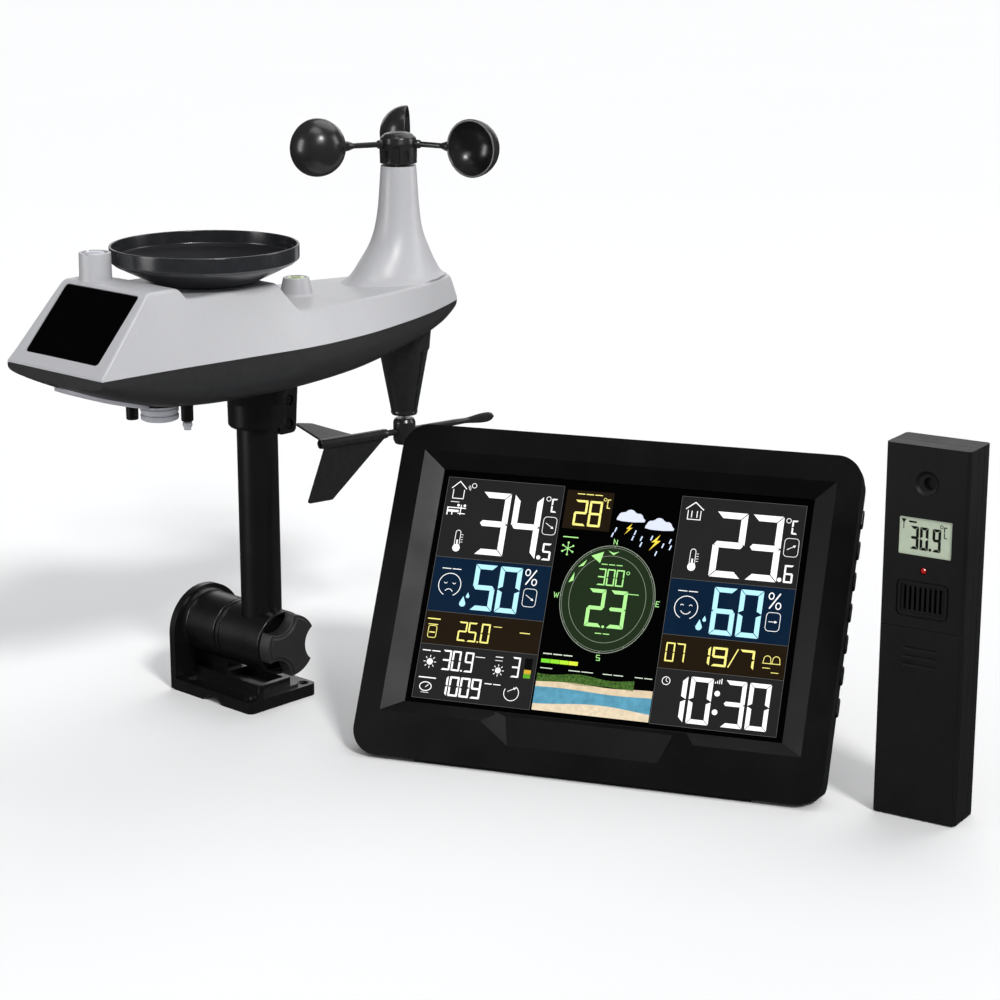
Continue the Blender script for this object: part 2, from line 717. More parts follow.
def solar_frame():
    """A frame in the middle of the sloping front, with +Z out of it and +X down the slope."""
    up = Vector((SLOPE_TOP[0] - SLOPE_BOTTOM[0], 0, SLOPE_TOP[1] - SLOPE_BOTTOM[1])).normalized()
    middle = Vector((SLOPE_BOTTOM[0], 0, SLOPE_BOTTOM[1]))
    middle += up * (SOLAR_FROM_BOTTOM + SOLAR_SIZE[0] / 2)
    return ARRAY @ shift(*middle) @ turn("Y", math.degrees(math.atan2(up.z, -up.x)))


def upper_shell():
    shell = loft(shell_rings(0), ARRAY)
    foot = mast_rings()
    foot.insert(0, [(x, y, 247.4) for x, y, _ in foot[0]])
    mast = loft(foot, ARRAY)
    post = turned([
        (0, LIGHT_POST_TOP), (7.9, LIGHT_POST_TOP, 0.3), (9.2, LIGHT_POST_TOP, 0.7),
        (9.4, 274.6, 1.5), (11.5, 273.6), (11.5, 270), (0, 270)], POST, 80)
    fuse(shell, mast, post)
    face = solar_frame()
    half = (SOLAR_SIZE[0] / 2, SOLAR_SIZE[1] / 2)
    recess = slab((-half[0] - GAP, -half[1] - GAP), (half[0] + GAP, half[1] + GAP), 2.4,
                  -1.9, 3, face)
    inner_mast = mast_rings(WALL, 249.6, MAST_TOP - 5, 48)
    inner_mast.insert(0, [(x, y, 246) for x, y, _ in inner_mast[0]])
    cut(shell, loft(shell_rings(WALL), ARRAY))
    cut(shell, rod("Z", 3, 300, 330, ARRAY, at=(MAST_X, 0)),
        rod("Z", 31, 257.3, 280, ARRAY, at=(FUNNEL_X, 0), sides=96),
        rod("Z", 7.7, LIGHT_POST_TOP - 3, 300, ARRAY, at=LIGHT_POST), recess)
    for angle in (20, 140, 260):
        notch = POST @ turn("Z", angle)
        cut(shell, block((6.8, -1.1, 289.3), (10.4, 1.1, 292), notch))
    piece("shell_body", shell, "sensor_head", WHITE, ["upper_shell"], edge=0.45, angle=28)
    boss = turned([
        (0, LEVEL_TOP - 3.9), (6.3, LEVEL_TOP - 3.9), (6.3, LEVEL_TOP, 0.3),
        (7.8, LEVEL_TOP, 0.7), (10.1, 251.9, 1), (11.6, 250.7, 0.4), (11.6, 249.4),
        (0, 249.4)], LEVEL, 80)
    piece("level_boss", boss, "sensor_head", WHITE)
    panel = slab((-half[0], -half[1]), half, 2.2, -1.5, -0.25, face)
    piece("solar_sheet", panel, "sensor_head", SOLAR, ["solar_panel"], edge=0.3)
    lens = turned([
        (0, 291.1), (3, 291), (5.2, 290.4, 1), (6.2, 289.4, 0.5), (7.2, 289.3, 0.2),
        (7.2, 287.9), (0, 287.9)], POST, 64)
    piece("post_lens", lens, "sensor_head", CLEAR, ["light_diffuser"])
    vial = turned([
        (0, LEVEL_TOP + 0.5), (3.4, LEVEL_TOP + 0.35), (5.4, LEVEL_TOP - 0.1, 0.6),
        (6, LEVEL_TOP - 0.7), (6, LEVEL_TOP - 3.7), (0, LEVEL_TOP - 3.7)],
        LEVEL, 64)
    piece("vial_body", vial, "sensor_head", VIAL, ["bubble_vial"])
    ring = lathe([(2.6 + 0.22 * math.cos(a), LEVEL_TOP + 0.42 + 0.16 * math.sin(a))
                  for a in [math.pi * k / 6 for k in range(12)]], LEVEL, 64, True)
    piece("vial_ring", ring, "sensor_head", INK, slot="level_green")


def hull():
    outer = loft(hull_rings(0, SEAM_Z - GAP / 2), ARRAY)
    cut(outer, loft(hull_rings(-WALL, SEAM_Z + 2), ARRAY),
        rod("Z", 5, 195, 228, ARRAY, at=(VANE_X, 0)))
    piece("hull_body", outer, "sensor_head", HULL, ["lower_hull"], edge=0.8, angle=38, segments=3)
    cover = loft(hull_rings(2.2, SEAM_Z + 2), ARRAY)
    oval = prism(ellipse((117, 0), 26.4, 26.9, 72), 190, 226, ARRAY)
    combine(cover, "INTERSECT", [oval])
    cut(cover, hull_clearance())
    piece("belly_cover", cover, "array_battery_cover", PALE, ["battery_cover"], edge=0.5)
    cap = turned([
        (0, 208), (11.2, 208), (11.2, 200.2, 0.3), (10.6, 199.6, 0.3), (10.6, 198.6, 0.3),
        (11.2, 198, 0.3), (11.2, 196.4, 0.3), (10.6, 195.8, 0.3), (10.6, 194.8, 0.3),
        (11.2, 194.2, 0.3), (11, 191.6, 0.8), (9.4, 190.8, 0.6), (0, 190.9)], SENSOR, 72)
    cut(cap, hull_clearance())
    piece("thermo_cap", cap, "sensor_head", PALE, ["sensor_cap"], slot="clear_lens")
    cage = turned([(11.6, 208), (14.5, 208), (14.5, 200.5, 0.6), (11.6, 200.5)], SENSOR, 72, True)
    posts = [turned([(0, 208), (3.7, 208), (3.6, 190.6, 0.8), (0, 190.3)],
                    SENSOR @ shift(*spot, 0), 40) for spot in SENSOR_POSTS]
    fuse(cage, *posts)
    cut(cage, hull_clearance())
    piece("thermo_cage", cage, "sensor_head", BRACKET, ["sensor_cage"])
    nozzle = turned([
        (0, 189.8), (2.8, 189.8, 0.3), (2.9, 187.6, 0.3), (2.2, 187, 0.3), (2.1, 185.3, 0.3),
        (1.2, 185.3, 0.2), (1.1, 187.4), (0, 187.4)], SENSOR @ shift(*SENSOR_POSTS[1], 0), 40)
    piece("thermo_nozzle", nozzle, "sensor_head", PALE, ["drain_nozzle"], slot="clear_lens")
    kept(BOARD, "outdoor_board")
    kept(CELL, "outdoor_battery_1", "outdoor_battery_2")
    kept(CASE, "bucket_frame")
    kept(CLEAR, "tipping_bucket")


# ---------------------------------------------------------------- rain gauge, cups and vane

def rain_gauge():
    bowl = turned([
        (54.2, 290, 0.5), (55.6, 290, 0.6), (55.55, 281.6, 1.6), (52.6, 279.2, 3),
        (31.6, 268.9, 1.5), (30.2, 267.4, 0.8), (30.2, 257.6, 0.4), (28.4, 257.6, 0.4),
        (28.4, 266.8, 1), (6.4, 260.3, 1), (5, 258, 0.6), (4.6, 254), (3.2, 254),
        (3.2, 262.4, 0.8), (8.5, 264.2, 1), (51.6, 280.6, 1.2), (53.6, 282.6, 1)],
        FUNNEL, 144, True)
    bowl = piece("funnel_bowl", bowl, "funnel", FUNNEL_MAT, ["rain_funnel"])
    bowl.data.materials.append(CONE_MAT)
    axis = (Matrix.Scale(MM, 4) @ FUNNEL).translation
    for face in bowl.data.polygons:
        radius = math.hypot(face.center.x - axis.x, face.center.y - axis.y)
        if face.normal.z > 0.3 and radius < 52.6 * MM:
            face.material_index = 1
    dome = turned([
        (0, 268), (2.6, 267.8), (5.4, 266.9, 2), (7.4, 265.2, 0.4), (7.4, 264.6),
        (0, 264.6)], FUNNEL, 64)
    for offset in (-4.2, -2.1, 0, 2.1, 4.2):
        reach = math.sqrt(6.2 ** 2 - offset ** 2)
        cut(dome, block((-reach, offset - 0.45, 265.4), (reach, offset + 0.45, 270), FUNNEL))
    piece("strainer_dome", dome, "funnel", FUNNEL_MAT, ["debris_screen"])


def rotor():
    hub = turned([
        (0, 342.6), (4.6, 342.4), (8.4, 341.4, 3), (11, 339.2, 2), (11.9, 335.6, 1),
        (11.6, 323, 0.5), (9.8, 323, 0.4), (9.6, 326), (2.3, 326), (2.3, 338),
        (0, 338)], ROTOR, 108)
    for angle in CUP_ANGLES:
        slot = slab((-2.3, 323.6), (2.3, 334.4), 1.1, 10.5, 14, ROTOR @ turn("Z", angle + 60), "X")
        side = [slab((-1.5, 324.6), (1.5, 331.6), 0.9, 10.6, 14,
                     ROTOR @ turn("Z", angle + 60 + offset), "X") for offset in (-32, 32)]
        cut(hub, slot, *side)
    piece("hub_cap", hub, "rotor", GLOSS, ["rotor_hub"], edge=0.2)
    for i, angle in enumerate(CUP_ANGLES, 1):
        spin = ROTOR @ turn("Z", angle)
        outer = [(CUP_R * math.sin(a), -CUP_R * math.cos(a) * 0.985 - 0.25)
                 for a in [math.radians(87) * k / 26 for k in range(27)]]
        rim = [(CUP_R, -0.9), (CUP_R, -0.35), (CUP_R - 0.35, 0), (CUP_R - 1.2, 0),
               (CUP_R - 1.6, -0.4)]
        inner = [((CUP_R - 1.6) * math.sin(a), -(CUP_R - 1.6) * math.cos(a))
                 for a in [math.radians(88) * (1 - k / 24) for k in range(25)]]
        cup = lathe(outer + rim + inner, spin @ shift(CUP_ORBIT, 0, CUP_Z) @ turn("X", 90))
        arm_frame = spin @ shift(0, 2.4, CUP_Z) @ turn("Y", 90)
        start = CUP_ORBIT - CUP_R
        arm = turned([
            (0, 12.2), (2.7, 12.2, 0.4), (2.7, 14.6, 0.6), (1.8, 15.6, 0.6),
            (1.7, start - 5.6, 3), (3, start - 1.6, 1), (3.2, start + 0.9), (0, start + 0.9)],
            arm_frame, 40)
        fuse(cup, arm)
        piece(f"cup_shell_{i}", cup, "rotor", GLOSS, [f"wind_cup_{i}"], angle=40)
    kept(STEEL, "rotor_shaft", "vane_shaft")


def wind_vane():
    housing = turned([
        (15.2, 222), (18.2, 222), (16.6, 204.5, 1.5), (15.6, 202.6, 0.6), (8.5, 163.8, 0.5),
        (8.7, 162.8, 0.4), (8, 161.1, 0.5), (2.3, 161.1), (2.3, 164), (6.4, 164),
        (13.6, 203)], HOUSING, closed=True)
    ridges = [prism([(7, 163.2), (8.9, 163.2), (16.7, 204), (14, 204)], -0.45, 0.45,
                    HOUSING @ turn("Z", angle), "Y") for angle in (95, 275)]
    fuse(housing, *ridges)
    cut(housing, hull_clearance())
    piece("vane_cone", housing, "sensor_head", GLOSS, ["vane_housing"], angle=24)
    top = ROD_Z + 8.6
    hub = turned([
        (0, ROD_Z + 2.9), (1.9, ROD_Z + 2.9), (1.9, top, 0.2), (6, top, 1.2),
        (7.2, top - 2.4, 1.6), (7.3, ROD_Z - 5.4, 1.6), (6, ROD_Z - 8.4, 1.2),
        (0, ROD_Z - 8.4)], VANE, 80)
    cut(hub, rod("X", 2.4, -9, 9, VANE, at=(0, ROD_Z), sides=40))
    piece("vane_barrel", hub, "vane", GLOSS, ["vane_hub"], edge=0.15)
    along = VANE @ shift(0, 0, ROD_Z) @ turn("Y", 90)
    bar = turned([
        (0, -52), (1.7, -51, 0.6), (2.05, -40, 2), (2.05, 61.2, 0.6), (0, 62)],
        along, 40)
    leaf = []
    for k in range(41):
        t = k / 40
        x = -46 - 25.6 * t
        half = (1.8 + 1.5 * math.sin(0.5 * math.pi * min(t / 0.7, 1)) ** 2)
        half *= max(1 - max((t - 0.75) / 0.25, 0) ** 2.4, 0.02) ** 0.5
        thick = 1.1 - 0.45 * t
        leaf.append([(x, thick * math.cos(a), ROD_Z + half * math.sin(a))
                     for a in [2 * math.pi * n / 20 for n in range(20)]])
    fuse(bar, loft(leaf, VANE))
    piece("vane_bar", bar, "vane", GLOSS, ["vane_rod"], angle=40)
    sleeve = turned([
        (2.4, 14), (2.9, 14, 0.3), (3.2, 16.5, 0.8), (3.2, 63, 0.8), (2.9, 65, 0.3),
        (2.4, 65)], along, 48, True)
    fins = []
    for lean, root, rear, fore in ((170, 14.4, (70.2, 39.8), (52, 39.8)),
                                   (81, 35, (59.8, 37), (50.2, 32.6))):
        outline = fillet([(root, 1.5), (60.6, 1.5, 0.6), (*rear, 1.2), (*fore, 2.5)], True)
        fins.append(prism(outline, -0.78, 0.78, VANE @ shift(0, 0, ROD_Z) @ turn("X", lean), "Y"))
    fuse(sleeve, *fins)
    cut(sleeve, rod("X", 2.35, 10, 62.4, VANE, at=(0, ROD_Z), sides=48))
    piece("vane_fins", sleeve, "vane", GLOSS, ["vane_tail"], edge=0.3)


# ---------------------------------------------------------------- console

def console_case():
    bezel = slab((-CONSOLE_HALF, 0), (CONSOLE_HALF, CONSOLE_TALL), 16, 0, BEZEL_DEEP,
                 CONSOLE, "Y", 14)
    underside = [block((-200, -60, -60), (200, 90, 2.4), CONSOLE_FLOOR) for _ in range(2)]
    beyond = 1 / SCREEN_DEEP
    outer = rectangle(BEVEL_HALF + (BEVEL_HALF - SCREEN_HALF) * beyond,
                      BEVEL_Z[0] + (BEVEL_Z[0] - SCREEN_Z[0]) * beyond,
                      BEVEL_Z[1] + (BEVEL_Z[1] - SCREEN_Z[1]) * beyond)
    slope = frustum(outer, rectangle(SCREEN_HALF, *SCREEN_Z), -1, SCREEN_DEEP, CONSOLE)
    notch = frustum([(-44, 12), (44, 12), (73, 32), (-73, 32)],
                    [(-50, 32), (50, 32), (58, 34.3), (-58, 34.3)], -0.6, 5.2, CONSOLE)
    window = prism(rectangle(SCREEN_HALF, *SCREEN_Z), 4, 8, CONSOLE, "Y")
    pocket = prism(rectangle(SCREEN_HALF + 3.5, SCREEN_Z[0] - 3.5, SCREEN_Z[1] + 3.5),
                   6.2, 12, CONSOLE, "Y")
    cut(bezel, slope, notch, window, pocket, underside[0])
    piece("bezel_body", bezel, "console", CASE, ["console_bezel"], edge=0.7, angle=11, segments=3)
    glass = prism(rectangle(SCREEN_HALF + 3, SCREEN_Z[0] - 3, SCREEN_Z[1] + 3), 6.5, 8,
                  CONSOLE, "Y")
    piece("glass_sheet", glass, "console", SCREEN, ["display_glass"], edge=0.2)
    edge = CONSOLE_HALF - 1
    cover = slab((-edge, 1), (edge, CONSOLE_TALL - 1), 15, BEZEL_DEEP + GAP, COVER_BACK, CONSOLE,
                 "Y", 14)
    hump = frustum(rounded_rectangle((-85, 22), (85, 150), 8),
                   rounded_rectangle((-83.4, 23.6), (83.4, 148.4), 7), COVER_BACK - 2,
                   HUMP_BACK, CONSOLE)
    lugs = []
    pivot_y, pivot_z = STAND_PIVOT
    for low in (-34, 29):
        outline = [(HUMP_BACK - 1, pivot_z - 6.5)]
        outline += arc((pivot_y, pivot_z), 3.6, -70, 70)
        outline.append((HUMP_BACK - 1, pivot_z + 6.5))
        lugs.append(prism(outline, low, low + 5, CONSOLE, "X"))
    fuse(cover, hump, *lugs)
    hollow = slab((-edge + WALL, 3.4), (edge - WALL, CONSOLE_TALL - 3.4), 13, BEZEL_DEEP - 1,
                  COVER_BACK - WALL, CONSOLE, "Y")
    hump_hollow = prism(rectangle(82, 25.4, 146), 12, HUMP_BACK - WALL, CONSOLE, "Y")
    cut(cover, hollow, hump_hollow, underside[1],
        rod("X", STAND_PIN_HOLE_R, -36, 36, CONSOLE, at=STAND_PIVOT, sides=32),
        slab((39.7, 39.7), (80.3, 110.3), 2, 27, 34, CONSOLE, "Y"),
        rod("Y", 5.8, 25, 35, CONSOLE, at=(-65, 60), sides=48))
    for z in KEY_Z:
        cut(cover, slab((11.2, z - 5.95), (16.8, z + 5.95), 2.7, 130, 145, CONSOLE, "X"))
    for k in range(9):
        z = 50 + 4.2 * k
        cut(cover, slab((-50, z), (-20, z + 1.6), 0.8, 28, 34, CONSOLE, "Y", 4))
    for x in (-124, 124):
        for z in (18, 184):
            cut(cover, rod("Y", 3.4, COVER_BACK - 1.2, COVER_BACK + 2, CONSOLE, at=(x, z),
                           sides=40))
    piece("cover_body", cover, "console", CASE, ["console_rear_cover"], edge=0.6)
    for i, z in enumerate(KEY_Z, 1):
        cap = slab((11.5, z - 5.6), (16.5, z + 5.6), 2.45, 133.8, 140.5, CONSOLE, "X")
        piece(f"key_cap_{i}", cap, f"key_{i}", KEY, [f"side_key_{i}"], edge=0.7, segments=3)
    door = slab((40, 40), (80, 110), 1.8, HUMP_BACK - 1.9, HUMP_BACK, CONSOLE, "Y")
    for k in range(4):
        cut(door, slab((52, 96 + 3 * k), (68, 97.2 + 3 * k), 0.55, HUMP_BACK - 0.6,
                       HUMP_BACK + 1, CONSOLE, "Y", 4))
    piece("door_panel", door, "console_door", CASE, ["console_battery_door"], edge=0.3)
    kept(BRACKET, "dc_inlet")
    kept(STEEL, "stand_pin")
    kept(BOARD, "console_board")
    kept(SCREEN, "lcd_panel")
    kept(RUBBER, "console_foot")


def stand():
    leg = slab((-28, -91.4), (28, -1), 4, -2, 2, STAND, "Y")
    barrel = rod("X", 3.6, -28.4, 28.4, STAND, sides=48)
    ribs = [block((x - 0.8, -2.9, -86), (x + 0.8, 2, -3), STAND) for x in (-22, 22)]
    fuse(leg, barrel, *ribs)
    cut(leg, rod("X", STAND_PIN_HOLE_R, -30, 30, STAND, sides=32),
        slab((-16, -70), (16, -20), 3, -4, 4, STAND, "Y"))
    piece("leg_body", leg, "stand", CASE, ["stand_leg"], edge=0.4)


# ---------------------------------------------------------------- shapes lit on a display

def each(draw, *rows):
    """The shapes of several symbols of one kind, each row the values of one symbol."""
    return [shape for values in rows for shape in draw(*values)]


def ribbon(points, width, closed=False):
    """Four-sided shapes along a line, mitred where they meet."""
    points = [Vector(point) for point in points]
    count = len(points)
    sides = []
    for i, here in enumerate(points):
        into = (here - points[i - 1]).normalized() if closed or i else None
        out = (points[(i + 1) % count] - here).normalized() if closed or i < count - 1 else None
        along = ((into or out) + (out or into)).normalized()
        across = Vector((-along.y, along.x))
        edge = out or into
        stretch = max(abs(across.dot(Vector((-edge.y, edge.x)))), 0.35)
        offset = across * (width / 2 / stretch)
        sides.append((here + offset, here - offset))
    shapes = []
    for i in range(count if closed else count - 1):
        (a, b), (c, d) = sides[i], sides[(i + 1) % count]
        shapes.append([a, b, d, c])
    return shapes


def line(u0, v0, u1, v1, width):
    return ribbon([(u0, v0), (u1, v1)], width)


def disc(centre, radius, count=28):
    return [arc(centre, radius, 0, 360, count)[:-1]]


def ring(centre, radius, width, tall=None, count=72):
    return ribbon(ellipse(centre, radius, tall or radius, count), width, True)


def strip(left, top, right, bottom):
    return [[(left, top), (right, top), (right, bottom), (left, bottom)]]


SEGMENTS = {
    "0": "abcdef", "1": "bc", "2": "abged", "3": "abgcd", "4": "fgbc", "5": "afgcd",
    "6": "afgecd", "7": "abc", "8": "abcdefg", "9": "abcdfg",
}


def segment(code, left, top, right, bottom, t):
    """One bar of a seven-bar digit, in display coordinates with v down."""
    g = 0.1 * t
    h = t / 2
    middle = (top + bottom) / 2
    if code == "g":
        return [(left + g * 2, middle), (left + h + g, middle - h), (right - h - g, middle - h),
                (right - g * 2, middle), (right - h - g, middle + h), (left + h + g, middle + h)]
    if code == "a":
        return [(left + g, top), (right - g, top), (right - t - g, top + t),
                (left + t + g, top + t)]
    if code == "d":
        return [(left + t + g, bottom - t), (right - t - g, bottom - t), (right - g, bottom),
                (left + g, bottom)]
    near, far = (right, right - t) if code in "bc" else (left, left + t)
    if code in "bf":
        return [(near, top + g), (far, top + t + g), (far, middle - h - g), (near, middle - g)]
    return [(near, middle + g), (far, middle + h + g), (far, bottom - t - g), (near, bottom - g)]


def number(text, left, top, right, bottom, weight=0.19):
    """Seven-bar digits filling a rectangle, with '.' and '/' between them."""
    narrow = {".": 0.2, "/": 0.55, "1": 0.42}
    widths = [narrow.get(mark, 1) for mark in text]
    spacing = 0.14
    unit = (right - left) / (sum(widths) + spacing * (len(text) - 1))
    t = weight * unit
    shapes = []
    at = left
    for mark, width in zip(text, widths):
        end = at + width * unit
        if mark == ".":
            shapes += disc(((at + end) / 2, bottom - t * 0.5), t * 0.55)
        elif mark == "/":
            shapes += line(at, bottom, end, top, t * 0.5)
        else:
            start = end - unit if mark == "1" else at
            shapes += [segment(code, start, top, end, bottom, t) for code in SEGMENTS[mark]]
        at = end + spacing * unit
    return shapes


def words(left, top, right, bottom, count):
    """Plain bars where the real display prints a caption of about so many letters."""
    bars = max(1, round(count / 3))
    gap = 0.9
    wide = (right - left - gap * (bars - 1)) / bars
    middle = (top + bottom) / 2
    starts = [left + (wide + gap) * i for i in range(bars)]
    return each(line, *[(at, middle, at + wide, middle, (bottom - top) * 0.22) for at in starts])


def drop(centre, size):
    u, v = centre
    return [[(u, v - size)] + arc((u, v + size * 0.25), size * 0.52, -35, 215, 18)]


def arrow(start, end, width, head):
    a, b = Vector(start), Vector(end)
    along = (b - a).normalized()
    across = Vector((-along.y, along.x)) * head * 0.5
    base = b - along * head
    return ribbon([a, base], width) + [[b, base + across, base - across]]


def degree_c(left, top, wide, tall):
    radius = wide * 0.19
    box = (left + wide * 0.5, top + tall * 0.1, left + wide, top + tall, wide * 0.13)
    return (ring((left + radius, top + radius), radius, 0.35, count=24)
            + [segment(code, *box) for code in "adef"])


def trend(left, top, wide, tall, rise):
    outline = rounded_rectangle((left, top), (left + wide, top + tall), wide * 0.25, 4)
    middle = top + tall * 0.5
    return ribbon(outline, 0.3, True) + arrow(
        (left + wide * 0.2, middle - rise), (left + wide * 0.82, middle + rise), 0.35, 1.6)


def thermometer(left, top, wide, tall):
    middle = left + wide / 2
    shapes = disc((middle, top + tall - wide * 0.5), wide * 0.5)
    shapes += ribbon(arc((middle, top + wide * 0.36), wide * 0.33, 180, 360, 10), 0.35)
    for u in (middle - wide * 0.33, middle + wide * 0.33):
        shapes += line(u, top + wide * 0.36, u, top + tall - wide * 0.86, 0.35)
    shapes += line(middle, top + tall * 0.45, middle, top + tall - wide * 0.9, wide * 0.2)
    for k in range(4):
        level = top + wide * 0.6 + 1.5 * k
        shapes += line(middle + wide * 0.45, level, middle + wide * 0.72, level, 0.3)
    return shapes


def house(left, top, wide, tall):
    eaves, foot = top + tall * 0.42, top + tall
    walls = (left + wide * 0.14, left + wide * 0.86)
    return (ribbon([(left, eaves), (left + wide / 2, top), (left + wide, eaves)], 0.55)
            + ribbon([(walls[0], eaves + 0.6), (walls[0], foot), (walls[1], foot),
                      (walls[1], eaves + 0.6)], 0.45))


def mood(centre, radius, glad):
    u, v = centre
    shapes = ribbon(arc(centre, radius, 115, 425, 48), 0.42)
    shift_v, start = (0.4, 200) if glad else (-0.4, 20)
    for side in (-1, 1):
        eye = (u + side * radius * 0.38, v - radius * 0.18 + shift_v)
        shapes += ribbon(arc(eye, radius * 0.14, start, start + 140, 8), 0.35)
    mouth = (0.1, 0.46, 25) if glad else (0.74, 0.36, 205)
    return shapes + ribbon(arc((u, v + radius * mouth[0]), radius * mouth[1], mouth[2],
                               mouth[2] + 130, 14), 0.4)


def percent(left, top, wide, tall):
    r = wide * 0.19
    low, high = (left + r, top + r * 1.3), (left + wide - r, top + tall - r * 1.3)
    return (each(ring, (low, r, 0.6, r * 1.3, 24), (high, r, 0.6, r * 1.3, 24))
            + line(left + wide * 0.12, top + tall, left + wide * 0.88, top, 0.75))


def sun(centre, radius):
    near, far = radius * 0.66, radius
    rays = zip(ellipse(centre, near, near, 8), ellipse(centre, far, far, 8))
    return disc(centre, radius * 0.48, 24) + each(ribbon, *[(ends, 0.4) for ends in rays])


def cloud(centre, wide, tall):
    u, v = centre
    points = [(u - wide * 0.5, v + tall * 0.38), (u - wide * 0.49, v + tall * 0.16)]
    points += arc((u - wide * 0.3, v + tall * 0.05), wide * 0.15, 190, 275, 8)
    points += arc((u - wide * 0.04, v - tall * 0.12), wide * 0.2, 215, 325)
    points += arc((u + wide * 0.26, v + tall * 0.06), wide * 0.15, 250, 350, 8)
    points += [(u + wide * 0.5, v + tall * 0.26), (u + wide * 0.46, v + tall * 0.42),
               (u + wide * 0.1, v + tall * 0.5), (u - wide * 0.3, v + tall * 0.48)]
    return [points]


def bolt(top, size):
    corners = ((0.3, 0), (-0.3, 0.62), (0, 0.58), (-0.42, 1.25), (0.36, 0.46), (0.06, 0.48))
    return [[(top[0] + u * size, top[1] + v * size) for u, v in corners]]


LETTER_LINES = {
    "N": ([(0, 1), (0, 0), (1, 1), (1, 0)],),
    "E": ([(1, 0), (0, 0), (0, 1), (1, 1)], [(0, 0.5), (0.8, 0.5)]),
    "S": ([(1, 0), (0, 0), (0, 0.5), (1, 0.5), (1, 1), (0, 1)],),
    "W": ([(0, 0), (0.25, 1), (0.5, 0.3), (0.75, 1), (1, 0)],),
}


def letter(mark, centre, wide, tall):
    shapes = []
    for strokes in LETTER_LINES[mark]:
        points = [(centre[0] + (u - 0.5) * wide, centre[1] + (v - 0.5) * tall) for u, v in strokes]
        shapes += ribbon(points, 0.42)
    return shapes


def band(left, right, upper, lower):
    """A strip between two wavy lines, each given as (level, swing, waves, phase)."""
    count = 40
    edges = []
    for level, swing, waves, phase in (upper, lower):
        edges.append([(left + (right - left) * k / count,
                       level + swing * math.sin(2 * math.pi * (waves * k / count + phase)))
                      for k in range(count + 1)])
    return [edges[0] + edges[1][::-1]]


LAYER_STEP = 0.05


def lit(name, shapes, material, layer, where, corner, front, body):
    """Joins flat shapes into one thin piece on a display's front, the higher layers in front."""
    bm = bmesh.new()
    far = front - LAYER_STEP * layer
    for shape in shapes:
        outline = [(corner[0] + point[0], corner[1] - point[1]) for point in shape]
        add_prism(bm, outline, far - 0.045, far - 0.005, "Y")
    obj = raw(bm, where)
    obj.name = name
    obj.data.name = name
    obj.data.materials.append(material)
    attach(obj, body)


LCD_CORNER = (-109, 172.4)
LCD_FRONT = 6.5
LCD_DIAL = (108.4, 65.3)


def lcd(name, shapes, colour, layer=1, **look):
    material = glow(f"lcd_{name}", colour, **look)
    lit(f"lcd_{name}", shapes, material, layer, CONSOLE, LCD_CORNER, LCD_FRONT, "console")


def display():
    """The colour display: dark panels with figures and symbols in five colours."""
    lcd("panel_charcoal", each(strip, (0, 0, 72, 48.8), (0, 102.5, 72, 134.6),
                               (144.4, 0, 217.4, 48.8), (144.4, 102.5, 217.4, 134.6)),
        (0.0135, 0.0135, 0.014), 0)
    lcd("panel_navy", each(strip, (0, 49.2, 72, 82), (144.4, 49.2, 217.4, 82)),
        (0.001, 0.0105, 0.03), 0)
    lcd("panel_brown", each(strip, (0, 82.5, 72, 102.1), (144.4, 82.5, 217.4, 102.1),
                            (74.4, 1.4, 103.2, 25)), (0.012, 0.0065, 0.0022), 0)
    hair = []
    for left, right in ((-0.3, 72.3), (144.1, 217.7)):
        for level in (-0.3, 49, 82.25, 102.3, 134.9):
            hair += line(left, level, right, level, 0.22)
        for side in (left, right):
            hair += line(side, -0.3, side, 134.9, 0.22)
    lcd("hairlines", hair, (0.1, 0.1, 0.1))
    white_symbols()
    coloured_symbols()
    dial()
    weather()
    picture()


